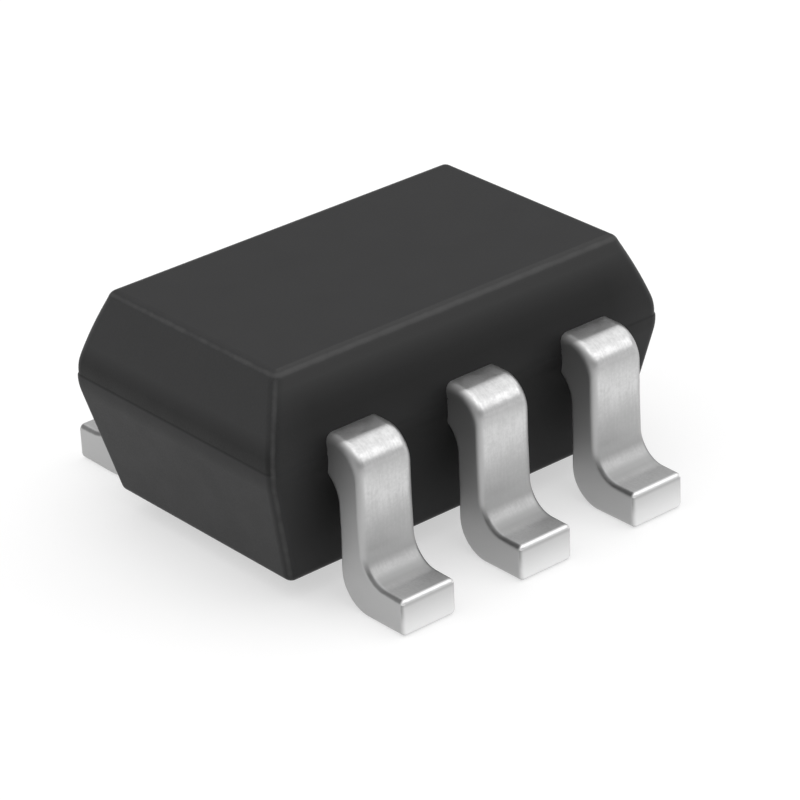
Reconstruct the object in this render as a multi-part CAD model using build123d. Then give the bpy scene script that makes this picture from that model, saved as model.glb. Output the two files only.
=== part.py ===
from build123d import *
import math
import os

# A six-lead amplifier chip for surface mounting. A drafted block of moulded epoxy stands on two rows of
# gull-wing leads. Inside it lie the die pad, the silicon die and the bond wires.
# Millimetres. +Z is up, X runs along the rows of leads and Y across them. The origin is on the board, under
# the middle of the body, and the undersides of the feet lie in the plane z = 0.

# Moulded body. Its outline is measured where the drafted faces would meet at the parting line.
body_width = 1.38
end_margin = 0.305        # from a corner lead to the end of the body
crown_height = 0.38       # from the parting line up to the top
belly_depth = 0.59        # from the parting line down to the belly
standoff = 0.10           # from the board up to the belly
crown_inset_end = 0.15    # how far the top stands back at an end
crown_inset_side = 0.125  # the same on a side with leads
belly_inset_end = 0.145
belly_inset_side = 0.10
waist_radius = 0.30       # rounding along the parting line
body_edge_radius = 0.045  # every other edge of the body

# Lead strip outside the body
lead_pitch = 0.65
lead_width = 0.29
strip_thickness = 0.17
shank_thickness = 0.155   # the strip is drawn thinner where it goes down
shank_gap = 0.03          # from the parting line to the back of the shank
toe_length = 0.24         # from the front of the shank to the end of the foot
shoulder_fall = 0.015     # how far the shoulder drops between the body and the shank
shoulder_radius = 0.13    # outside of the upper bend
armpit_radius = 0.15      # inside of the upper bend
instep_radius = 0.135     # inside of the lower bend, above the foot
heel_radius = 0.16        # outside of the lower bend, under the foot
strip_edge_radius = 0.025

# Lead strip inside the body
neck_length = 0.09        # from the parting line to the wider head that anchors a lead
head_lock = 0.04          # how far the head stands out past the lead on each side
head_depth = 0.22         # from the parting line to the inner end of a middle lead
corner_head_depth = 0.38  # the same for a corner lead, which reaches in beside the die pad
strip_corner_radius = 0.03
stamping_gap = 0.12       # least gap between the die pad and the heads
pad_downset = 0.13        # how far the die pad lies below the leads

# Die and bonds
attach_thickness = 0.02
attach_spread = 0.02      # how far the adhesive stands out past the die
die_thickness = 0.15
die_margin = 0.08         # from the edge of the die pad to the die
bond_inset = 0.06         # from the edge of the die to the middle of a bond
wire_diameter = 0.025
ball_diameter = 0.06
ball_height = 0.015
loop_height = 0.10        # from the top of the die to the level stretch of wire
loop_reach = 0.12         # length of the level stretch
loop_radius = 0.03        # inside both bends of the wire, to its middle
stitch_inset = 0.07       # from the inner end of a head to the middle of the stitch
stitch_length = 0.06
stitch_width = 0.04
stitch_height = 0.01

# Heights that the pieces share
lead_height = standoff + belly_depth
body_top = lead_height + crown_height
strip_top = lead_height + strip_thickness / 2
strip_bottom = lead_height - strip_thickness / 2
pad_top = strip_top - pad_downset
pad_bottom = strip_bottom - pad_downset
die_bottom = pad_top + attach_thickness
die_top = die_bottom + die_thickness
loop_top = die_top + loop_height

# Places on the +Y side, measured from the middle of the body
half_length = lead_pitch + lead_width / 2 + end_margin
half_width = body_width / 2
shank_back = half_width + shank_gap
shank_front = shank_back + shank_thickness
foot_end = shank_front + toe_length
neck_end = half_width - neck_length
head_end = half_width - head_depth
corner_head_end = half_width - corner_head_depth
head_width = lead_width + 2 * head_lock

# The die pad fills what the heads leave free, and the die fills the pad up to its margin
pad_length = 2 * (lead_pitch - head_width / 2 - stamping_gap)
pad_width = 2 * (head_end - stamping_gap)
die_length = pad_length - 2 * die_margin
die_width = pad_width - 2 * die_margin

# Each lead's column along X and side across Y, counted round the body from its near left corner
lead_places = {1: (-1, -1), 2: (0, -1), 3: (1, -1), 4: (1, 1), 5: (0, 1), 6: (-1, 1)}
pad_place = (0, -1)


def drafted_prism(plane, half, crown_inset, belly_inset, depth):
    """The body seen along one direction, rounded at the parting line and drawn out along that direction."""
    right = [(half - belly_inset, standoff), (half, lead_height), (half - crown_inset, body_top)]
    left = [(-across, z) for across, z in reversed(right)]
    outline = make_face(Polyline(*right, *left, close=True))
    waist = [outline.vertices().sort_by_distance((side * half, lead_height))[0] for side in (1, -1)]
    return extrude(plane * fillet(waist, waist_radius), depth, both=True)


def moulded_block():
    """The moulding without its hollows."""
    seen_from_side = drafted_prism(Plane.XZ, half_length, crown_inset_end, belly_inset_end, body_width)
    seen_from_end = drafted_prism(Plane.YZ, half_width, crown_inset_side, belly_inset_side, 2 * half_length)
    block = seen_from_side & seen_from_end
    by_height = block.faces().sort_by(Axis.Z)
    rims = by_height[0].edges() + by_height[-1].edges()
    corners = [
        edge for edge in block.edges()
        if abs(edge.center().X) > half_length / 2 and abs(edge.center().Y) > half_width / 2
    ]
    return fillet(rims + corners, body_edge_radius)


def rounded_outline(corners):
    """A closed outline through (y, z, radius) corners. A radius of 0 leaves the corner sharp."""
    outline = make_face(Polyline(*[(y, z) for y, z, radius in corners], close=True))
    for y, z, radius in corners:
        if radius:
            outline = fillet(outline.vertices().sort_by_distance((y, z))[0], radius)
    return outline


def gull_wing():
    """One lead from its neck to its foot, on the +Y side at x = 0."""
    profile = rounded_outline([
        (head_end, strip_top, 0),
        (half_width, strip_top, shoulder_radius),
        (shank_front, strip_top - shoulder_fall, shoulder_radius),
        (shank_front, strip_thickness, min(instep_radius, 0.9 * toe_length)),
        (foot_end, strip_thickness, 0),
        (foot_end, 0, 0),
        (shank_back, 0, heel_radius),
        (shank_back, strip_bottom, armpit_radius),
        (head_end, strip_bottom, 0),
    ])
    wing = extrude(Plane.YZ * profile, lead_width / 2, both=True)
    outer_edges = [edge for edge in wing.edges() if edge.center().Y > head_end + strip_edge_radius]
    return fillet(outer_edges, strip_edge_radius)


def flat_strip(length, width, middle_y, middle_z):
    """A flat stamped piece of the strip with rounded corners in plan."""
    outline = Pos(0, middle_y, middle_z) * RectangleRounded(length, width, strip_corner_radius)
    return extrude(outline, strip_thickness / 2, both=True)


def lead(column, carries_pad):
    """A whole lead on the +Y side at x = 0. The one that carries the die pad reaches it on a bent tie."""
    inner_end = head_end if column == 0 else corner_head_end
    head = flat_strip(head_width, neck_end - inner_end, (neck_end + inner_end) / 2, lead_height)
    piece = gull_wing() + head
    if carries_pad:
        pad_edge = pad_width / 2
        tie_outline = [
            (head_end + strip_corner_radius, strip_top),
            (head_end, strip_top),
            (pad_edge, pad_top),
            (pad_edge - strip_corner_radius, pad_top),
            (pad_edge - strip_corner_radius, pad_bottom),
            (pad_edge, pad_bottom),
            (head_end, strip_bottom),
            (head_end + strip_corner_radius, strip_bottom),
        ]
        tie = extrude(Plane.YZ * make_face(Polyline(*tie_outline, close=True)), lead_width / 2, both=True)
        pad = flat_strip(pad_length, pad_width, 0, lead_height - pad_downset)
        piece = piece + tie + pad
    return piece


def bond_wire(column):
    """A wire from the die to a lead's head, on the +Y side. It starts in a ball and ends in a flat stitch."""
    start = Vector(column * (die_length / 2 - bond_inset), die_width / 2 - bond_inset)
    landing = Vector(column * lead_pitch, (head_end if column == 0 else corner_head_end) + stitch_inset)
    run = landing - start
    reach = run.length
    radius = wire_diameter / 2
    slope = (loop_top - strip_top) / (reach - loop_reach)
    path = FilletPolyline(
        (0, die_top + ball_height / 2),
        (0, loop_top),
        (loop_reach, loop_top),
        (reach + radius / slope, strip_top - radius),
        radius=loop_radius,
    )
    path = Plane.XZ * path
    wire = sweep(Plane(path @ 0, z_dir=path % 0) * Circle(radius), path)
    above_head = Pos(0, 0, strip_top) * Box(4 * reach, 4 * reach, 2 * crown_height,
                                            align=(Align.CENTER, Align.CENTER, Align.MIN))
    ball = Pos(0, 0, die_top) * Cylinder(ball_diameter / 2, ball_height,
                                         align=(Align.CENTER, Align.CENTER, Align.MIN))
    stitch = Pos(reach, 0, strip_top) * Box(stitch_length, stitch_width, stitch_height,
                                            align=(Align.CENTER, Align.CENTER, Align.MIN))
    turn = math.degrees(math.atan2(run.Y, run.X))
    return Pos(start.X, start.Y, 0) * Rot(0, 0, turn) * ((wire & above_head) + ball + stitch)


def layer(length, width, bottom, thickness):
    """A flat rectangular piece in the middle of the body."""
    return Pos(0, 0, bottom) * Box(length, width, thickness, align=(Align.CENTER, Align.CENTER, Align.MIN))


os.makedirs("parts", exist_ok=True)

pieces = {}
for number, (column, side) in lead_places.items():
    turned = Rot(0, 0, 0 if side > 0 else 180)
    pieces[f"lead_{number}"] = Pos(column * lead_pitch, 0, 0) * turned * lead(column, (column, side) == pad_place)
    pieces[f"bond_wire_{number}"] = turned * bond_wire(column * side)

pieces["die_attach"] = layer(die_length + 2 * attach_spread, die_width + 2 * attach_spread, pad_top, attach_thickness)
pieces["silicon_die"] = layer(die_length, die_width, die_bottom, die_thickness)

moulding = moulded_block()
for piece in pieces.values():
    moulding = moulding - piece
pieces["moulded_body"] = moulding

for name, piece in pieces.items():
    export_step(piece, f"parts/{name}.step")
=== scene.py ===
import math
import bpy
import numpy as np
from mathutils import Matrix, Vector


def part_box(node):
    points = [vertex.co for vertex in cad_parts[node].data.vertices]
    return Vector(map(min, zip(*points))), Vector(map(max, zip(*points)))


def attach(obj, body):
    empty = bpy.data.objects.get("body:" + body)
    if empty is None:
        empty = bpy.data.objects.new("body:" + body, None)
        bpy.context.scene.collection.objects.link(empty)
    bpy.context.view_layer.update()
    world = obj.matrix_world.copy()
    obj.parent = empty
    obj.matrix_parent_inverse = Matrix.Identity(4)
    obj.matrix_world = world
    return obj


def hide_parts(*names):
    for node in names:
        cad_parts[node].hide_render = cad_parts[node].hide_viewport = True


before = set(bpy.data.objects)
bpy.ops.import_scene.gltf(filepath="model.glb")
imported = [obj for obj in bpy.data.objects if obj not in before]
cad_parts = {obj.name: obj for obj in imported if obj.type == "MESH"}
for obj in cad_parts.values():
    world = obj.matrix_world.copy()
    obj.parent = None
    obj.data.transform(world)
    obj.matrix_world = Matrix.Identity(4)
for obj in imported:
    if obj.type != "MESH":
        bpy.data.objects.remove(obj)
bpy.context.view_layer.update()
print("frame loaded:", len(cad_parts), "pieces of the chip")

mm = 0.001
micron = 0.000001
bodyLow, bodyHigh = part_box("moulded_body")
nearLeadLow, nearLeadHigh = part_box("lead_1")
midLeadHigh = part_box("lead_2")[1]
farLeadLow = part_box("lead_5")[0]


# Meshes from grids of points

def roundedOutline(cornerSteps, sideSteps, guard):
    # A rectangle with round corners, as factors of its half sizes. A point lies at
    # (a * (half length - radius) + c * radius, b * (half width - radius) + d * radius).
    # c and d turn through a quarter circle at each corner, where a and b stay at +1 or -1.
    # Along a side a or b runs from corner to corner, with a guard point close to each end.
    turn = np.linspace(0, math.pi / 2, cornerSteps)
    run = 1 - 2 * np.concatenate([[guard], np.linspace(0, 1, sideSteps + 2)[1:-1], [1 - guard]])
    a, b, c, d = [], [], [], []
    for quarter in range(4):
        start = quarter * math.pi / 2
        cornerA = math.copysign(1, math.cos(start + math.pi / 4))
        cornerB = math.copysign(1, math.sin(start + math.pi / 4))
        alongA = quarter % 2 == 0
        a += [np.full(cornerSteps, cornerA), cornerA * run if alongA else np.full(len(run), cornerA)]
        b += [np.full(cornerSteps, cornerB), np.full(len(run), cornerB) if alongA else cornerB * run]
        c += [np.cos(start + turn), np.full(len(run), math.cos(start + math.pi / 2))]
        d += [np.sin(start + turn), np.full(len(run), math.sin(start + math.pi / 2))]
    return [np.concatenate(part) for part in (a, b, c, d)]


def guarded(start, end, count, guard):
    # Evenly spaced values from start to end, with one more close to each end,
    # so that smooth shading on a flat stretch doesn't bleed in from a curved neighbour.
    inner = np.linspace(start, end, count)
    step = math.copysign(guard, end - start)
    return np.concatenate([[start, start + step], inner[1:-1], [end - step, end]])


def closedGrid(name, rows, attributes=None):
    # Rows of points, each row a closed ring. Neighbouring rows are joined by quads, and each end closes
    # on one point in the middle of its ring. If the signed volume is negative, every face is turned over.
    stations, around = rows.shape[:2]
    points = np.concatenate([rows.reshape(-1, 3), rows[:1].mean(axis=1), rows[-1:].mean(axis=1)])
    ring = np.arange(stations * around).reshape(stations, around)
    ahead = np.roll(ring, -1, axis=1)
    quads = np.stack([ring[:-1], ahead[:-1], ahead[1:], ring[1:]], axis=-1).reshape(-1, 4)
    firstPole, lastPole = stations * around, stations * around + 1
    firstFan = np.stack([ahead[0], ring[0], np.full(around, firstPole)], axis=-1)
    lastFan = np.stack([ring[-1], ahead[-1], np.full(around, lastPole)], axis=-1)
    triangles = np.concatenate([quads[:, [0, 1, 2]], quads[:, [0, 2, 3]], firstFan, lastFan])
    corners = points[triangles]
    volume = np.einsum("ij,ij->i", corners[:, 0], np.cross(corners[:, 1], corners[:, 2])).sum()
    faces = [part[:, ::-1] if volume < 0 else part for part in (quads, firstFan, lastFan)]
    mesh = bpy.data.meshes.new(name)
    mesh.from_pydata(points.tolist(), [], [face for part in faces for face in part.tolist()])
    mesh.polygons.foreach_set("use_smooth", np.ones(len(mesh.polygons), bool))
    for label, values in (attributes or {}).items():
        kind, field = ("FLOAT_VECTOR", "vector") if values.ndim == 3 else ("FLOAT", "value")
        ends = np.concatenate([values.reshape(stations * around, -1), values[:1].mean(axis=1).reshape(1, -1),
                               values[-1:].mean(axis=1).reshape(1, -1)])
        mesh.attributes.new(label, kind, "POINT").data.foreach_set(field, ends.astype(np.float32).ravel())
    mesh.update()
    piece = bpy.data.objects.new(name, mesh)
    bpy.context.scene.collection.objects.link(piece)
    return piece


# The moulded body

bodyShape = {
    "partingHeight": 0.69 * mm,    # from the board up to the parting line
    "endApex": 1.10 * mm,          # half sizes where the drafted faces would meet
    "sideApex": 0.69 * mm,
    "crownInsetEnd": 0.15 * mm,
    "crownInsetSide": 0.125 * mm,
    "bellyInsetEnd": 0.145 * mm,
    "bellyInsetSide": 0.10 * mm,
    "waistRadius": 0.30 * mm,
    "edgeRadius": 0.045 * mm,
    "flankBulge": 0.010 * mm,      # how far the upper flanks swell in the middle
    "stepLevel": 0.684 * mm,       # from the board up to the step that shows the parting line
    "stepDepth": 0.003 * mm,       # the crown half is this much smaller there
    "stepHeight": 0.009 * mm,
    "waistRows": 16,
    "stepRows": 4,
    "rimRows": 9,
    "flankRows": 10,
    "cornerSteps": 9,
    "sideSteps": 24,
    "faceRings": (0.25, 0.5, 0.75, 0.93, 0.985, 0.996),  # shares of the rim on the flat top and belly
    "ringRounding": 0.9,           # of the room there is for a corner on those rings
    "rowGap": 3 * micron,          # from the end of a straight stretch to its guard row
    "fineRowGap": micron,          # the same beside the step
    "sideGuard": 0.004,            # share of a side from a corner to its guard point
}


def flankAngles(crownInset, bellyInset):
    # How far the upper and the lower flank lean from upright: the angle whose tangent is inset over height.
    waist = bodyShape["partingHeight"]
    return math.atan(crownInset / (bodyHigh.z - waist)), math.atan(bellyInset / (waist - bodyLow.z))


def waistArc(upper, lower):
    # The arc that touches both flanks. Its centre lies on the line that halves their angle, at a depth of the
    # radius over the cosine of half that angle. Gives the centre's depth and height and the arc's two ends.
    radius, waist = bodyShape["waistRadius"], bodyShape["partingHeight"]
    tilt = (upper - lower) / 2
    depth = radius / math.cos((upper + lower) / 2)
    middle = waist - depth * math.sin(tilt)
    return depth * math.cos(tilt), middle, middle - radius * math.sin(lower), middle + radius * math.sin(upper)


def flankReach(height, apex, crownInset, bellyInset):
    # Half size of the body at each height. Two straight flanks are joined by the waist arc, and an arc of the
    # edge radius turns each flank level at the top and the belly. The upper flank swells as a parabola, and
    # from the step up it stands back by the step's depth, which fades out towards the top.
    shape = bodyShape
    top, belly, waist = bodyHigh.z, bodyLow.z, shape["partingHeight"]
    upper, lower = flankAngles(crownInset, bellyInset)
    reach = apex - np.where(height > waist, math.tan(upper) * (height - waist), math.tan(lower) * (waist - height))
    depth, middle, low, high = waistArc(upper, lower)
    arc = apex - depth + np.sqrt(np.clip(shape["waistRadius"] ** 2 - (height - middle) ** 2, 0, None))
    reach = np.where((height < high) & (height > low), arc, reach)
    small = shape["edgeRadius"]
    for level, angle, side in ((top, upper, 1), (belly, lower, -1)):
        centreHeight = level - side * small
        centre = apex - (small + abs(centreHeight - waist) * math.sin(angle)) / math.cos(angle)
        rim = centre + np.sqrt(np.clip(small ** 2 - (height - centreHeight) ** 2, 0, None))
        reach = np.where(side * (height - centreHeight) > small * math.sin(angle), rim, reach)
    above = np.clip((height - waist) / (top - waist), 0, 1)
    past = np.clip((height - shape["stepLevel"]) / shape["stepHeight"] + 0.5, 0, 1)
    return reach + shape["flankBulge"] * 4 * above * (1 - above) - shape["stepDepth"] * past * (1 - above)


def bodyHeights():
    # Heights of the rows from belly to top. They are close together on the rims, the waist and the step.
    shape = bodyShape
    small, guard, fine, step = shape["edgeRadius"], shape["rowGap"], shape["fineRowGap"], shape["stepHeight"] / 2
    share = np.linspace(0, 1, shape["rimRows"])
    upper, lower = flankAngles(shape["crownInsetSide"], shape["bellyInsetSide"])
    lowRim = bodyLow.z + small - small * np.sin(math.pi / 2 - share * (math.pi / 2 - lower))
    highRim = bodyHigh.z - small + small * np.sin(upper + share * (math.pi / 2 - upper))
    level = shape["stepLevel"]
    _, _, waistLow, waistHigh = waistArc(*flankAngles(shape["crownInsetEnd"], shape["bellyInsetEnd"]))
    return np.concatenate([
        lowRim[:-1],
        guarded(lowRim[-1], waistLow, shape["flankRows"], guard)[:-1],
        guarded(waistLow, level - step, shape["waistRows"], fine)[:-1],
        np.linspace(level - step, level + step, shape["stepRows"])[:-1],
        guarded(level + step, waistHigh, shape["waistRows"], fine)[:-1],
        guarded(waistHigh, highRim[0], shape["flankRows"], guard)[:-1],
        highRim,
    ])


def makeBody():
    # Each row is a rounded rectangle at one height. Its half sizes are the flanks' reach at that height, and
    # its corner radius is the edge radius times the cosine of the rim's turn. Flat rings close the top and the
    # belly. edgeTurn is 1 in the middle of a rounded edge and 0 on the faces beside it. longSide is 1 on the
    # sides with leads, and 0 on the ends, the top and the belly.
    shape = bodyShape
    height = bodyHeights()
    length = flankReach(height, shape["endApex"], shape["crownInsetEnd"], shape["bellyInsetEnd"])
    width = flankReach(height, shape["sideApex"], shape["crownInsetSide"], shape["bellyInsetSide"])
    small = shape["edgeRadius"]
    past = np.clip(np.maximum(height - (bodyHigh.z - small), (bodyLow.z + small) - height), 0, small)
    radius = np.sqrt(small ** 2 - past ** 2)
    rimTurn = np.sin(2 * np.arcsin(past / small))
    rings = np.array(shape["faceRings"])
    ringCorners = shape["ringRounding"] * np.minimum(rings, 1 - rings)   # shares of the half width
    flat = np.zeros(len(rings))
    radius = np.concatenate([ringCorners * width[0], radius, ringCorners[::-1] * width[-1]])
    length, width = (np.concatenate([rings * part[0], part, rings[::-1] * part[-1]]) for part in (length, width))
    height = np.concatenate([flat + height[0], height, flat + height[-1]])
    rimTurn = np.concatenate([flat, rimTurn, flat])
    a, b, c, d = roundedOutline(shape["cornerSteps"], shape["sideSteps"], shape["sideGuard"])
    x = a * (length - radius)[:, None] + c * radius[:, None]
    y = b * (width - radius)[:, None] + d * radius[:, None]
    rows = np.stack([x, y, np.broadcast_to(height[:, None], x.shape)], axis=-1)
    cornerTurn = np.concatenate([flat, np.sqrt(small ** 2 - past ** 2) / small, flat])
    edgeTurn = np.maximum(2 * np.abs(c * d) * cornerTurn[:, None], rimTurn[:, None])
    upright = np.concatenate([flat, np.ones(len(past)), flat])
    longSide = d ** 2 * upright[:, None]
    return closedGrid("epoxyBody", rows, {"edgeTurn": edgeTurn, "longSide": longSide})


# The leads

stripShape = {
    "width": 0.29 * mm,
    "thickness": 0.17 * mm,
    "shankThickness": 0.155 * mm,
    "toeLength": 0.24 * mm,
    "shoulderFall": 0.015 * mm,
    "shoulderRadius": 0.13 * mm,
    "armpitRadius": 0.15 * mm,
    "instepRadius": 0.135 * mm,
    "heelRadius": 0.16 * mm,
    "edgeRadius": 0.04 * mm,       # of the long edges, worn soft in the bending
    "footRadius": 0.026 * mm,      # of the same edges along the foot
    "endRadius": 0.02 * mm,        # of the edges round the end of the foot
    "softening": (0.16 * mm, 0.40 * mm),     # the edges grow softer from the first height to the second
    "cornerRadius": 0.03 * mm,     # of the heads and the die pad, in plan
    "neckLength": 0.09 * mm,
    "padDownset": 0.13 * mm,
    "rowsPerStretch": (14, 18, 26, 24, 10),
    "cornerSteps": 7,
    "sideSteps": 5,
    "endSteps": 7,
    "endRings": (0.97, 0.8, 0.5, 0.2),  # shares of the rim on the foot's flat end
    "bendSteps": 40,               # points along each bend of the outside and the inside line
    "planSteps": 7,                # points along each corner of the heads and the die pad
    "guard": 0.02,                 # share of a stretch or a side from its end to its guard point
}


def railPieces(corners, steps):
    # A line through (y, z, radius) corners, cut where each rounding starts and ends. A rounding touches both
    # of its lines at radius * tan(half the turn) from the corner, and its points turn evenly about its centre.
    points = np.array([corner[:2] for corner in corners])
    along = np.diff(points, axis=0)
    along = along / np.linalg.norm(along, axis=1)[:, None]
    pieces, last = [], points[0]
    for k in range(1, len(points) - 1):
        before, after, radius = along[k - 1], along[k], corners[k][2]
        turn = math.atan2(before[0] * after[1] - before[1] * after[0], float(before @ after))
        start = points[k] - before * radius * math.tan(abs(turn) / 2)
        side = np.array([-before[1], before[0]]) * math.copysign(1, turn)
        angle = np.linspace(0, turn, steps)[:, None]
        pieces.append(np.array([last, start]))
        pieces.append(start + side * radius + radius * (before * np.sin(np.abs(angle)) - side * np.cos(angle)))
        last = pieces[-1][-1]
    return pieces + [np.array([last, points[-1]])]


def evenly(piece, spots):
    # Points at the given shares of a line's own length.
    length = np.concatenate([[0], np.cumsum(np.linalg.norm(np.diff(piece, axis=0), axis=1))])
    return np.stack([np.interp(spots * length[-1], length, piece[:, k]) for k in range(2)], axis=-1)


def bentRails():
    # The outside and the inside line of a lead, from the body to where the foot's end starts to round off.
    # Both lines are cut at the same bends, and each stretch has as many points on one line as on the other.
    shape = stripShape
    top, thick = nearLeadHigh.z, shape["thickness"]
    footEnd = -nearLeadLow.y
    front = footEnd - shape["toeLength"]
    back = front - shape["shankThickness"]
    side = bodyShape["sideApex"]
    outer = railPieces([
        (side - shape["neckLength"], top, 0), (side, top, shape["shoulderRadius"]),
        (front, top - shape["shoulderFall"], shape["shoulderRadius"]),
        (front, thick, shape["instepRadius"]), (footEnd - shape["endRadius"], thick, 0),
    ], shape["bendSteps"])
    inner = railPieces([
        (side - shape["neckLength"], top - thick, 0), (side, top - thick, shape["shoulderRadius"]),
        (back, top - thick, shape["armpitRadius"]), (back, 0, shape["heelRadius"]),
        (footEnd - shape["endRadius"], 0, 0),
    ], shape["bendSteps"])
    rails = []
    for pieces in (outer, inner):
        stretches = [np.concatenate(pieces[:3])] + pieces[3:]
        spots = [guarded(0, 1, count, shape["guard"])[:-1] for count in shape["rowsPerStretch"]]
        spots[-1] = np.append(spots[-1], 1)
        rails.append(np.concatenate([evenly(*pair) for pair in zip(stretches, spots)]))
    return rails


def roundedEnds(start, end, half, radius):
    # Half width of a flat piece with round corners, from one end of it to the other along the lead.
    turn = np.linspace(0, math.pi / 2, stripShape["planSteps"])
    first = [(start + radius * (1 - math.cos(t)), half - radius + radius * math.sin(t)) for t in turn]
    last = [(end - radius * (1 - math.sin(t)), half - radius + radius * math.cos(t)) for t in turn]
    return first + last


def innerStations(number):
    # The stretch of a lead inside the body: place across the body, height of the top and half width.
    # The head is wider than the neck. Lead 2 starts with the die pad, which a sloping tie joins to its head.
    shape = stripShape
    neck = bodyShape["sideApex"] - shape["neckLength"]
    top = nearLeadHigh.z
    half, tie, radius = (nearLeadHigh.x - nearLeadLow.x) / 2, shape["width"] / 2, shape["cornerRadius"]
    start = farLeadLow.y if number in (2, 5) else -nearLeadHigh.y
    stations = []
    if number == 2:
        padHalf, padTop, edge = midLeadHigh.x, top - shape["padDownset"], midLeadHigh.y
        stations = [(y, padTop, w) for y, w in roundedEnds(-edge, edge, padHalf, radius)]
        stations += [(edge, padTop, tie), (start, top, tie)]
    stations += [(y, top, w) for y, w in roundedEnds(start, neck, half, radius)]
    return np.array(stations)


def makeLead(number, column, side):
    # The section is a rounded rectangle carried along the strip. Its middle lies halfway between the outside
    # and the inside line, its thickness spans them, and its corner radius grows with height from the foot to
    # the shank. At the end of the foot it shrinks round a quarter circle. stripFlow is the place across, along
    # and through the strip. edgeTurn is 1 on the middle of a rounded edge, cutSide on the sheared sides and
    # cutEnd on the sheared end of the foot.
    shape = stripShape
    foot, rim = shape["footRadius"], shape["endRadius"]
    outer, inner = bentRails()
    hidden = innerStations(number)
    outer = np.concatenate([hidden[:, :2], outer])
    inner = np.concatenate([hidden[:, :2] - [0, shape["thickness"]], inner])
    middle = (outer + inner) / 2
    halfThick = np.linalg.norm(outer - inner, axis=1) / 2
    lean = (outer - inner) / (2 * halfThick[:, None])
    halfWidth = np.concatenate([hidden[:, 2], np.full(len(outer) - len(hidden), shape["width"] / 2)])
    turn = np.linspace(0, math.pi / 2, shape["endSteps"])[1:]
    rings = np.array(shape["endRings"])
    endReach = -nearLeadLow.y - rim + np.concatenate([rim * np.sin(turn), np.full(len(rings), rim)])
    shrink = rim * (1 - np.cos(turn))
    capThick = np.concatenate([halfThick[-1] - shrink, (halfThick[-1] - rim) * rings])
    capWidth = np.concatenate([halfWidth[-1] - shrink, (halfWidth[-1] - rim) * rings])
    edge = np.interp(middle[:, 1], shape["softening"], (foot, shape["edgeRadius"]))
    radius = np.concatenate([edge, foot - shrink, (foot - rim) * rings])
    rimTurn = np.concatenate([np.zeros(len(middle)), np.sin(2 * turn), np.zeros(len(rings))])
    cornerTurn = np.concatenate([np.ones(len(middle)), 1 - shrink / rim, np.zeros(len(rings))])
    facing = np.concatenate([np.zeros(len(middle)), np.sin(turn) ** 2, np.ones(len(rings))])
    middle = np.concatenate([middle, np.stack([endReach, np.full(len(endReach), middle[-1, 1])], axis=-1)])
    lean = np.concatenate([lean, np.tile(lean[-1], (len(endReach), 1))])
    halfThick, halfWidth = np.concatenate([halfThick, capThick]), np.concatenate([halfWidth, capWidth])
    a, b, c, d = roundedOutline(shape["cornerSteps"], shape["sideSteps"], shape["guard"])
    across = a * (halfWidth - radius)[:, None] + c * radius[:, None]
    through = b * (halfThick - radius)[:, None] + d * radius[:, None]
    y = middle[:, :1] + through * lean[:, :1]
    z = middle[:, 1:] + through * lean[:, 1:]
    travelled = np.concatenate([[0], np.cumsum(np.linalg.norm(np.diff(middle, axis=0), axis=1))])
    flow = np.stack([across, np.broadcast_to(travelled[:, None], across.shape), through], axis=-1)
    edgeTurn = np.maximum(2 * np.abs(c * d) * cornerTurn[:, None], rimTurn[:, None])
    cutEnd = np.broadcast_to(facing[:, None], across.shape)
    cutSide = c ** 2 * (1 - cutEnd)
    rows = np.stack([across * side + column, y * side, z], axis=-1)
    return closedGrid(f"platedLead{number}", rows, {
        "stripFlow": flow, "edgeTurn": edgeTurn, "cutSide": cutSide, "cutEnd": cutEnd})


# Shader node groups, each used by more than one finish

def newGroup(name, inputs, outputs):
    group = bpy.data.node_groups.new(name, "ShaderNodeTree")
    for label, kind, value in inputs:
        socket = group.interface.new_socket(name=label, in_out="INPUT", socket_type=kind)
        if value is not None:
            socket.default_value = value
    for label, kind in outputs:
        group.interface.new_socket(name=label, in_out="OUTPUT", socket_type=kind)
    return group, group.nodes.new("NodeGroupInput"), group.nodes.new("NodeGroupOutput")


def addNode(tree, kind, settings=None, inputs=None):
    node = tree.nodes.new(kind)
    for label, value in (settings or {}).items():
        setattr(node, label, value)
    for label, value in (inputs or {}).items():
        if isinstance(value, bpy.types.NodeSocket):
            tree.links.new(value, node.inputs[label])
        else:
            node.inputs[label].default_value = value
    return node


def perMetre(tree, size):
    # A noise scale from the size of its spots in micrometres
    return addNode(tree, "ShaderNodeMath", {"operation": "DIVIDE"}, {0: 1 / micron, 1: size}).outputs[0]


noiseLook = {
    "fine": {"Detail": 3.0, "Roughness": 0.6},
    "broad": {"Detail": 2.0, "Roughness": 0.5},
    "edgeWearAndPaintedLight": {"Detail": 3.0},
    "maskRange": {"From Min": 0.32, "From Max": 0.68},   # of the two noises together
}


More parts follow.
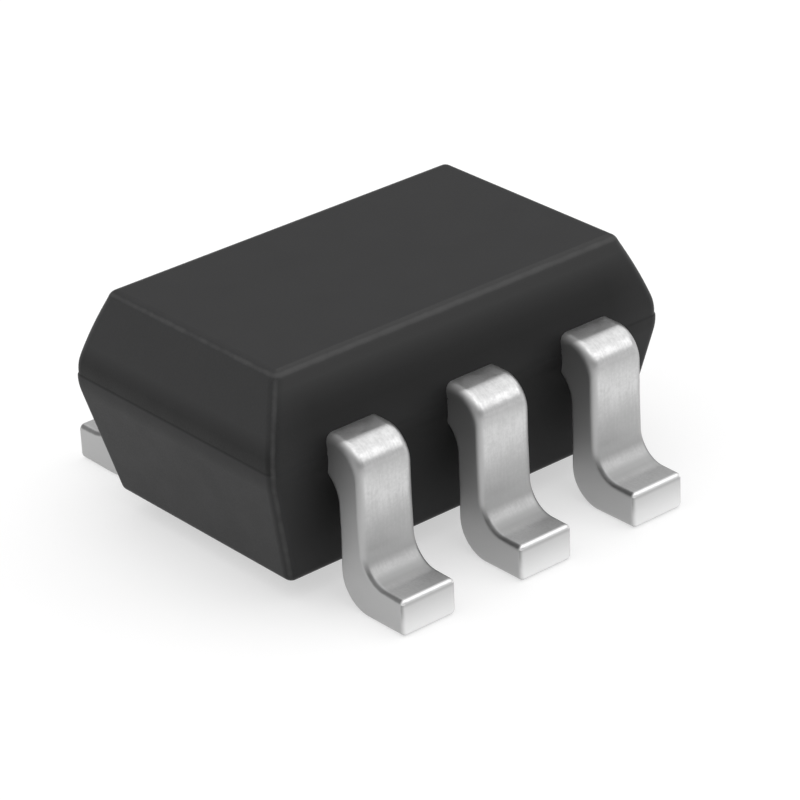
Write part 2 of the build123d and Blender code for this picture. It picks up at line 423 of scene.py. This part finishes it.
def buildGrainGroup():
    # Two sizes of noise added together: Height for a Bump node, Mask from 0 to 1 for colour and roughness.
    group, source, sink = newGroup("fineGrain", [
        ("Vector", "NodeSocketVector", None), ("Grain Size", "NodeSocketFloat", 10.0),
        ("Patch Size", "NodeSocketFloat", 120.0), ("Patch Share", "NodeSocketFloat", 0.3),
    ], [("Height", "NodeSocketFloat"), ("Mask", "NodeSocketFloat")])
    fine, broad = (
        addNode(group, "ShaderNodeTexNoise", None, {
            "Vector": source.outputs["Vector"], "Scale": perMetre(group, source.outputs[size]), **noiseLook[kind]})
        for size, kind in (("Grain Size", "fine"), ("Patch Size", "broad")))
    blend = addNode(group, "ShaderNodeMix", {"data_type": "FLOAT"}, {
        0: source.outputs["Patch Share"], 2: fine.outputs["Fac"], 3: broad.outputs["Fac"]})
    stretch = addNode(group, "ShaderNodeMapRange", {"interpolation_type": "SMOOTHSTEP"}, {
        "Value": blend.outputs[0], **noiseLook["maskRange"]})
    group.links.new(blend.outputs[0], sink.inputs["Height"])
    group.links.new(stretch.outputs["Result"], sink.inputs["Mask"])
    return group


def buildEdgeMaskGroup():
    # Edge marks: the mesh's own edge factor, broken up by noise. Mask is 1 on a marked edge. On the body it carries
    # rubbed wear and a painted highlight, and on the leads painted shade.
    group, source, sink = newGroup("edgeWearAndLightMask", [
        ("Vector", "NodeSocketVector", None), ("Edge", "NodeSocketFloat", 0.0),
        ("Break Size", "NodeSocketFloat", 40.0), ("Break Share", "NodeSocketFloat", 0.6),
        ("Start", "NodeSocketFloat", 0.5), ("Full", "NodeSocketFloat", 1.0),
    ], [("Mask", "NodeSocketFloat")])
    noise = addNode(group, "ShaderNodeTexNoise", None, {
        "Vector": source.outputs["Vector"], "Scale": perMetre(group, source.outputs["Break Size"]),
        **noiseLook["edgeWearAndPaintedLight"]})
    broken = addNode(group, "ShaderNodeMath", {"operation": "MULTIPLY_ADD"}, {
        0: noise.outputs["Fac"], 1: source.outputs["Break Share"], 2: source.outputs["Edge"]})
    mask = addNode(group, "ShaderNodeMapRange", {"interpolation_type": "SMOOTHSTEP"}, {
        "Value": broken.outputs[0], "From Min": source.outputs["Start"], "From Max": source.outputs["Full"]})
    group.links.new(mask.outputs["Result"], sink.inputs["Mask"])
    return group


grainGroup = buildGrainGroup()
edgeMaskGroup = buildEdgeMaskGroup()


def newMaterial(name, baseColor, roughness, metallic=0.0, specular=0.5):
    material = bpy.data.materials.new(name)
    material.use_nodes = True
    tree = material.node_tree
    shader = tree.nodes["Principled BSDF"]
    shader.inputs["Base Color"].default_value = (*baseColor, 1)
    shader.inputs["Roughness"].default_value = roughness
    shader.inputs["Metallic"].default_value = metallic
    shader.inputs["Specular IOR Level"].default_value = specular
    return material, tree, shader


def placeGrain(tree, place, look):
    return addNode(tree, "ShaderNodeGroup", {"node_tree": grainGroup}, {
        "Vector": place, "Grain Size": look["grainSize"], "Patch Size": look["patchSize"],
        "Patch Share": look["patchShare"]})


def placeEdgeMask(tree, place, edge, look):
    return addNode(tree, "ShaderNodeGroup", {"node_tree": edgeMaskGroup}, {
        "Vector": place, "Edge": edge, "Break Size": look["edgeBreakSize"], "Break Share": look["edgeBreakShare"],
        "Start": look["edgeMaskRange"][0], "Full": look["edgeMaskRange"][1]})


def objectCoordinates(tree):
    return addNode(tree, "ShaderNodeTexCoord").outputs["Object"]


def colourBetween(tree, mask, low, high):
    # Each end is a colour of three numbers or another node's output
    ends = {k: end if isinstance(end, bpy.types.NodeSocket) else (*end, 1) for k, end in ((6, low), (7, high))}
    return addNode(tree, "ShaderNodeMix", {"data_type": "RGBA"}, {0: mask, **ends}).outputs[2]


def valueBetween(tree, mask, low, high):
    return addNode(tree, "ShaderNodeMapRange", None, {"Value": mask, "To Min": low, "To Max": high}).outputs["Result"]


def inMillimetres(tree, axis):
    # The object coordinate along one axis, over a millimetre
    place = addNode(tree, "ShaderNodeSeparateXYZ", None, {"Vector": objectCoordinates(tree)}).outputs[axis]
    return addNode(tree, "ShaderNodeMath", {"operation": "DIVIDE"}, {0: place, 1: mm}).outputs[0]


def shareAlong(tree, value, points):
    # A share that runs in straight lines through the given (value, share) points
    ramp = addNode(tree, "ShaderNodeValToRGB", None, {"Fac": value})
    stops = ramp.color_ramp.elements
    while len(stops) < len(points):
        stops.new(0.5)
    for stop, (level, share) in zip(stops, points):
        stop.position, stop.color = level, (share, share, share, 1)
    return ramp.outputs["Color"]


def bumped(tree, height, distance):
    return addNode(tree, "ShaderNodeBump", None, {"Height": height, "Distance": distance}).outputs["Normal"]


def timesNode(tree, first, second):
    return addNode(tree, "ShaderNodeMath", {"operation": "MULTIPLY"}, {0: first, 1: second}).outputs[0]


def attributeOf(tree, name, output="Fac"):
    return addNode(tree, "ShaderNodeAttribute", {"attribute_name": name}).outputs[output]


# Finishes

epoxyFinish = {
    "dark": (0.025, 0.025, 0.0255),
    "light": (0.032, 0.032, 0.0325),
    "roughness": (0.46, 0.56),
    "specular": 0.20,
    # lighter edges: partly rubbed wear, partly a painted highlight along the rims and corners
    "rubAndHighlight": (0.066, 0.066, 0.066),
    "edgeBreakSize": 60.0,
    "edgeBreakShare": 0.25,              # how much noise breaks up the rubbed and highlighted edges
    "edgeMaskRange": (0.88, 1.18),      # edge factor and noise together, from a plain edge to a fully lighter edge
    "endShare": 0.90,              # what the ends keep of the edge factor, so their rubbed and highlighted edges are fainter
    "wearAndPaintedLight": (0.041, 0.041, 0.041),         # painted light: lighter under the top edge on the sides with leads
    "paintedShade": (0.008, 0.008, 0.008),   # painted shade: a dark band above the parting line, and darker flanks on the sides with leads
    "topLightShares": ((0.86, 0), (0.95, 0.45), (0.99, 0.85), (1.0, 1)),        # by height in mm
    "endShadeShares": ((0.682, 0.3), (0.686, 1), (0.75, 0.95), (0.80, 0.35), (0.83, 0)),
    "sideShadeShares": ((0.10, 0.45), (0.40, 0.7), (0.64, 0.9), (0.72, 0.55), (0.84, 0.8), (0.90, 0.65), (1.0, 0)),
    "cornerShadeShares": ((0.82, 1), (1.0, 0.3)),   # by distance from the middle in mm: less of the painted shade at the corners
    "grainSize": 9.0,
    "patchSize": 150.0,
    "patchShare": 0.35,
    "bump": 0.4 * micron,
}


def makeEpoxy():
    look = epoxyFinish
    material, tree, shader = newMaterial(
        "matt mould compound", look["dark"], look["roughness"][0], specular=look["specular"])
    place = objectCoordinates(tree)
    grain = placeGrain(tree, place, look)
    height = inMillimetres(tree, "Z")
    longSide = attributeOf(tree, "longSide")
    share = valueBetween(tree, longSide, look["endShare"], 1.0)
    # edge mask for rubbed wear and a painted highlight along the body's rounded edges
    edgeWearAndPaintedLight = placeEdgeMask(tree, place, timesNode(tree, attributeOf(tree, "edgeTurn"), share), look)
    ground = colourBetween(tree, grain.outputs["Mask"], look["dark"], look["light"])
    # painted light: the sides with leads grow lighter towards the top edge
    wearAndPaintedLight = timesNode(tree, shareAlong(tree, height, look["topLightShares"]), longSide)
    ground = colourBetween(tree, wearAndPaintedLight, ground, look["wearAndPaintedLight"])
    # painted shade: a dark band above the parting line on the ends, and darker flanks between the leads on the sides
    # with leads, weaker at the corners
    along = addNode(tree, "ShaderNodeMath", {"operation": "ABSOLUTE"}, {0: inMillimetres(tree, "X")}).outputs[0]
    side = timesNode(tree, shareAlong(tree, height, look["sideShadeShares"]),
                     shareAlong(tree, along, look["cornerShadeShares"]))
    paintedShadeShare = addNode(tree, "ShaderNodeMix", {"data_type": "FLOAT"}, {
        0: longSide, 2: shareAlong(tree, height, look["endShadeShares"]), 3: side})
    ground = colourBetween(tree, paintedShadeShare.outputs[0], ground, look["paintedShade"])
    tree.links.new(colourBetween(tree, edgeWearAndPaintedLight.outputs["Mask"], ground, look["rubAndHighlight"]), shader.inputs["Base Color"])
    tree.links.new(valueBetween(tree, grain.outputs["Mask"], *look["roughness"]), shader.inputs["Roughness"])
    tree.links.new(bumped(tree, grain.outputs["Height"], look["bump"]), shader.inputs["Normal"])
    return material


platingFinish = {
    "dull": (0.61, 0.61, 0.61),
    "bright": (0.75, 0.75, 0.75),
    # painted shade darkening the leads' rounded edges
    "shadedEdge": (0.50, 0.50, 0.50),
    "footEdgeShade": (0.21, 0.21, 0.21),      # painted shade: a dark line along the foot's edges
    "endEdgeHighlight": (0.90, 0.90, 0.90),       # painted highlight along the top edge of the foot's end
    "cutEnd": ((0.82, 0.82, 0.82), (0.44, 0.44, 0.44)),    # at the board and just under the top edge: painted shade darkens the end towards its top edge
    "cutSide": ((0.50, 0.50, 0.50), (0.28, 0.28, 0.28)),   # near the foot and near the body: painted shade darkens the sheared sides towards the body
    "dulledAndShaded": (0.42, 0.42, 0.42),      # partly where the bending has dulled the plating, partly painted shade below the top bend and down the lower shank
    "footEdgeShadeShares": ((0.06, 0), (0.12, 1), (0.21, 1), (0.27, 0)),   # by height in mm
    "endEdgeHighlightShares": ((0.149, 0), (0.153, 1)),
    "cutEndShadeShares": ((0.02, 0), (0.125, 0.6), (0.135, 0.65), (0.147, 1)),
    "cutSideShadeShares": ((0.15, 0), (0.45, 0.35), (0.72, 1)),
    "dulledAndShadedShares": ((0.1705, 0.45), (0.178, 1), (0.192, 1), (0.207, 0.6), (0.222, 0.5), (0.25, 0.9),
                       (0.40, 0.75), (0.52, 0.3), (0.60, 0.3), (0.64, 0.55), (0.67, 0.8), (0.69, 0.4), (0.71, 0)),
    "satinShares": ((0.28, 0.85), (0.40, 0.70), (0.56, 0.20), (0.70, 0)),
    "roughness": (0.28, 0.40),
    "dullRoughness": 0.60,               # of the strained plating and the sheared sides
    "streakShare": 0.3,
    "grainSize": 14.0,
    "patchSize": 110.0,
    "streakWidth": 9.0,
    "streakStretch": 0.07,               # the noise's scale along the strip, as a share of that across it
    "patchShare": 0.4,
    "maskRange": (0.35, 0.65),           # of grain and streaks together, from dull to bright
    "edgeBreakSize": 30.0,
    "edgeBreakShare": 0.2,
    "edgeMaskRange": (0.5, 1.1),
    "endHighlightGain": 4.0,                      # how fast the painted highlight on the end's top edge reaches its full tone
    "bump": 0.16 * micron,
}


def makePlating():
    look = platingFinish
    material, tree, shader = newMaterial("satin tin plating", look["bright"], look["roughness"][0], 1.0)
    flow = attributeOf(tree, "stripFlow", "Vector")
    drawn = addNode(tree, "ShaderNodeMapping", None, {
        "Vector": flow, "Scale": Vector((1, look["streakStretch"], 1)) / (look["streakWidth"] * micron)})
    streaks = addNode(tree, "ShaderNodeTexNoise", None, {
        "Vector": drawn.outputs[0], "Scale": 1.0, **noiseLook["broad"]})
    grain = placeGrain(tree, flow, look)
    edgeWearAndPaintedLight = placeEdgeMask(tree, flow, attributeOf(tree, "edgeTurn"), look)
    both = addNode(tree, "ShaderNodeMix", {"data_type": "FLOAT"}, {
        0: look["streakShare"], 2: grain.outputs["Height"], 3: streaks.outputs["Fac"]})
    mask = addNode(tree, "ShaderNodeMapRange", {"interpolation_type": "SMOOTHSTEP"}, {
        "Value": both.outputs[0], "From Min": look["maskRange"][0], "From Max": look["maskRange"][1]})
    height = inMillimetres(tree, "Z")
    # darker by height: dulled plating at the bends, and painted shade below the top bend and down the lower shank
    dulledAndShaded = shareAlong(tree, height, look["dulledAndShadedShares"])
    side, end = attributeOf(tree, "cutSide"), attributeOf(tree, "cutEnd")
    ground = colourBetween(tree, mask.outputs["Result"], look["dull"], look["bright"])
    ground = colourBetween(tree, dulledAndShaded, ground, look["dulledAndShaded"])
    # painted shade along the rounded edges
    ground = colourBetween(tree, edgeWearAndPaintedLight.outputs["Mask"], ground, look["shadedEdge"])
    # painted shade: the sheared sides darken towards the body
    shadedCut = colourBetween(tree, shareAlong(tree, height, look["cutSideShadeShares"]), *look["cutSide"])
    ground = colourBetween(tree, side, ground, shadedCut)
    # painted shade: a dark line along the foot's rounded edges
    foot = timesNode(tree, edgeWearAndPaintedLight.outputs["Mask"], shareAlong(tree, height, look["footEdgeShadeShares"]))
    ground = colourBetween(tree, foot, ground, look["footEdgeShade"])
    # painted shade: the sheared end darkens towards its top edge
    shadedCut = colourBetween(tree, shareAlong(tree, height, look["cutEndShadeShares"]), *look["cutEnd"])
    ground = colourBetween(tree, end, ground, shadedCut)
    # painted highlight along the top edge of the foot's end
    rim = addNode(tree, "ShaderNodeMath", {"operation": "PINGPONG"}, {0: end, 1: 0.5}).outputs[0]
    rim = timesNode(tree, rim, shareAlong(tree, height, look["endEdgeHighlightShares"]))
    rim = timesNode(tree, rim, look["endHighlightGain"])
    tree.links.new(colourBetween(tree, rim, ground, look["endEdgeHighlight"]), shader.inputs["Base Color"])
    fresh = valueBetween(tree, mask.outputs["Result"], look["roughness"][1], look["roughness"][0])
    satin = shareAlong(tree, height, look["satinShares"])
    wearAndPaintedLight = addNode(tree, "ShaderNodeMath", {"operation": "MAXIMUM"}, {0: side, 1: satin}).outputs[0]
    wearAndPaintedLight = addNode(tree, "ShaderNodeMath", {"operation": "SUBTRACT", "use_clamp": True}, {0: wearAndPaintedLight, 1: end})
    tree.links.new(valueBetween(tree, wearAndPaintedLight.outputs[0], fresh, look["dullRoughness"]), shader.inputs["Roughness"])
    tree.links.new(bumped(tree, both.outputs[0], look["bump"]), shader.inputs["Normal"])
    return material


hiddenFinishes = {
    "silicon": {"low": (0.07, 0.08, 0.10), "high": (0.12, 0.13, 0.16), "roughness": (0.12, 0.22),
                "metallic": 0.6, "grainSize": 6.0, "patchSize": 60.0, "patchShare": 0.5,
                "bump": 0.05 * micron},
    "adhesive": {"low": (0.36, 0.36, 0.34), "high": (0.62, 0.62, 0.60), "roughness": (0.4, 0.6),
                 "metallic": 0.5, "grainSize": 5.0, "patchSize": 30.0, "patchShare": 0.5,
                 "bump": 0.4 * micron},
    "gold": {"low": (0.86, 0.58, 0.22), "high": (1.0, 0.74, 0.34), "roughness": (0.18, 0.3),
             "metallic": 1.0, "grainSize": 4.0, "patchSize": 25.0, "patchShare": 0.5,
             "bump": 0.1 * micron},
}


def makeHiddenFinish(name):
    look = hiddenFinishes[name]
    material, tree, shader = newMaterial(name + " inside", look["low"], look["roughness"][0], look["metallic"])
    grain = placeGrain(tree, objectCoordinates(tree), look)
    tree.links.new(colourBetween(tree, grain.outputs["Mask"], look["low"], look["high"]),
                   shader.inputs["Base Color"])
    tree.links.new(valueBetween(tree, grain.outputs["Mask"], *look["roughness"]), shader.inputs["Roughness"])
    tree.links.new(bumped(tree, grain.outputs["Height"], look["bump"]), shader.inputs["Normal"])
    return material


# Build the chip

epoxy, plating = makeEpoxy(), makePlating()
body = makeBody()
body.data.materials.append(epoxy)
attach(body, "root")
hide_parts("moulded_body")
print("body made:", len(body.data.polygons), "faces")

pitch = -(nearLeadLow.x + nearLeadHigh.x) / 2
leadPlaces = {1: (-1, -1), 2: (0, -1), 3: (1, -1), 4: (1, 1), 5: (0, 1), 6: (-1, 1)}
for number, (column, side) in leadPlaces.items():
    lead = makeLead(number, column * pitch, side)
    lead.data.materials.append(plating)
    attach(lead, "root")
    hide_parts(f"lead_{number}")
print("leads made:", len(leadPlaces), "of", len(lead.data.polygons), "faces")

for node, name in [("silicon_die", "silicon"), ("die_attach", "adhesive")]:
    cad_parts[node].data.materials.clear()
    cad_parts[node].data.materials.append(makeHiddenFinish(name))
gold = makeHiddenFinish("gold")
for number in leadPlaces:
    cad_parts[f"bond_wire_{number}"].data.materials.clear()
    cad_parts[f"bond_wire_{number}"].data.materials.append(gold)
print("inner pieces finished")


# Studio

studio = {
    "floorReach": 0.6,
    "floorDrop": 2 * micron,
    "floorTone": 0.50,
    "floorRoughness": 0.9,
    "floorSpecular": 0.1,
    "floorLift": 0.54,             # shows in the camera and in reflections, and lights nothing
    "worldLevel": 1.53,            # brightness overhead
    "worldShares": ((0.11, 0.65), (0.16, 0.13), (0.35, 0.13), (1.0, 1.0)),  # by a direction's height
    "lampDistance": 18 * mm,
}
lampRig = {                        # degrees round from +X and up from the floor
    "left": {"azimuth": 180, "elevation": 25, "size": 10 * mm, "level": 0.42},
    "front": {"azimuth": 270, "elevation": 58, "size": 10 * mm, "level": 0.47},
    "frontRight": {"azimuth": 315, "elevation": 25, "size": 10 * mm, "level": 0.40},
    "bendLight": {"azimuth": 311, "elevation": 35, "size": 8 * mm, "level": 0.8},
    "right": {"azimuth": 0, "elevation": 25, "size": 10 * mm, "level": 0.67},
    "backLeft": {"azimuth": 135, "elevation": 25, "size": 10 * mm, "level": 0.98},
}


def makeFloor():
    # A square just under the feet. Its lift makes it white without more light on the chip.
    reach, drop = studio["floorReach"], -studio["floorDrop"]
    mesh = bpy.data.meshes.new("floor")
    corners = [(x * reach, y * reach, drop) for x, y in ((-1, -1), (1, -1), (1, 1), (-1, 1))]
    mesh.from_pydata(corners, [], [(0, 1, 2, 3)])
    floor = bpy.data.objects.new("floor", mesh)
    bpy.context.scene.collection.objects.link(floor)
    tone = studio["floorTone"]
    material, tree, shader = newMaterial(
        "white floor", (tone, tone, tone), studio["floorRoughness"], specular=studio["floorSpecular"])
    rays = addNode(tree, "ShaderNodeLightPath")
    seen = rays.outputs["Is Camera Ray"]
    for kind in ("Is Glossy Ray", "Is Transmission Ray"):
        seen = addNode(tree, "ShaderNodeMath", {"operation": "MAXIMUM"}, {0: seen, 1: rays.outputs[kind]}).outputs[0]
    lift = timesNode(tree, seen, studio["floorLift"])
    shader.inputs["Emission Color"].default_value = (1, 1, 1, 1)
    tree.links.new(lift, shader.inputs["Emission Strength"])
    floor.data.materials.append(material)


def makeWorld():
    # Grey all round, with a level that follows the height of the direction.
    world = bpy.data.worlds.new("studio")
    world.use_nodes = True
    bpy.context.scene.world = world
    tree = world.node_tree
    background = tree.nodes["Background"]
    direction = addNode(tree, "ShaderNodeTexCoord").outputs["Generated"]
    height = addNode(tree, "ShaderNodeSeparateXYZ", None, {"Vector": direction}).outputs["Z"]
    level = timesNode(tree, shareAlong(tree, height, studio["worldShares"]), studio["worldLevel"])
    background.inputs["Color"].default_value = (1, 1, 1, 1)
    tree.links.new(level, background.inputs["Strength"])


def makeLamp(name, azimuth, elevation, size, level):
    # A square softbox that faces the chip. Its power gives its surface the named brightness.
    turn, climb = math.radians(azimuth), math.radians(elevation)
    place = studio["lampDistance"] * Vector((
        math.cos(turn) * math.cos(climb), math.sin(turn) * math.cos(climb), math.sin(climb)))
    light = bpy.data.lights.new(name, "AREA")
    light.shape = "SQUARE"
    light.size = size
    light.energy = level * math.pi * size ** 2
    lamp = bpy.data.objects.new(name, light)
    lamp.location = place
    aim = Vector((0, 0, bodyShape["partingHeight"])) - place
    lamp.rotation_mode = "QUATERNION"
    lamp.rotation_quaternion = aim.to_track_quat("-Z", "Y")
    lamp.visible_camera = False
    bpy.context.scene.collection.objects.link(lamp)


makeFloor()
makeWorld()
for name, lamp in lampRig.items():
    makeLamp(name, **lamp)
print("studio made:", len(lampRig), "lamps")


# Camera

shot = {
    "azimuth": -38.91,             # degrees, 0 looks along +Y
    "elevation": 26.45,
    "roll": -2.79,
    "distance": 16.3 * mm,
    "targetHeight": 0.5715 * mm,
    "aimRight": 0.129 * mm,        # from the target to the middle of the picture
    "aimDown": 0.149 * mm,
    "lens": 169.0,
    "sensorWidth": 36,
    "nearClip": 0.326 * mm,
    "farClip": 5,
}


def makeCamera():
    # The camera sits on a sphere round the target. It is rolled, then aimed a little beside the target, so
    # that the chip lies off the middle of the picture.
    a, e, r = (math.radians(shot[key]) for key in ("azimuth", "elevation", "roll"))
    back = Vector((math.sin(a) * math.cos(e), -math.cos(a) * math.cos(e), math.sin(e)))
    level = (-back).cross(Vector((0, 0, 1))).normalized()
    upright = level.cross(-back)
    right = level * math.cos(r) + upright * math.sin(r)
    up = -level * math.sin(r) + upright * math.cos(r)
    target = Vector((0, 0, shot["targetHeight"]))
    place = target + back * shot["distance"]
    aim = target + right * shot["aimRight"] - up * shot["aimDown"]
    forward = (aim - place).normalized()
    right = forward.cross(up).normalized()
    up = right.cross(forward)
    camera = bpy.data.objects.new("camera", bpy.data.cameras.new("camera"))
    camera.data.lens = shot["lens"]
    camera.data.sensor_width = shot["sensorWidth"]
    camera.data.clip_start = shot["nearClip"]
    camera.data.clip_end = shot["farClip"]
    turn = Matrix((right, up, -forward)).transposed().to_4x4()
    camera.matrix_world = Matrix.Translation(place) @ turn
    bpy.context.scene.collection.objects.link(camera)
    bpy.context.scene.camera = camera


makeCamera()
bpy.context.scene.view_settings.view_transform = "Standard"
print("camera placed")
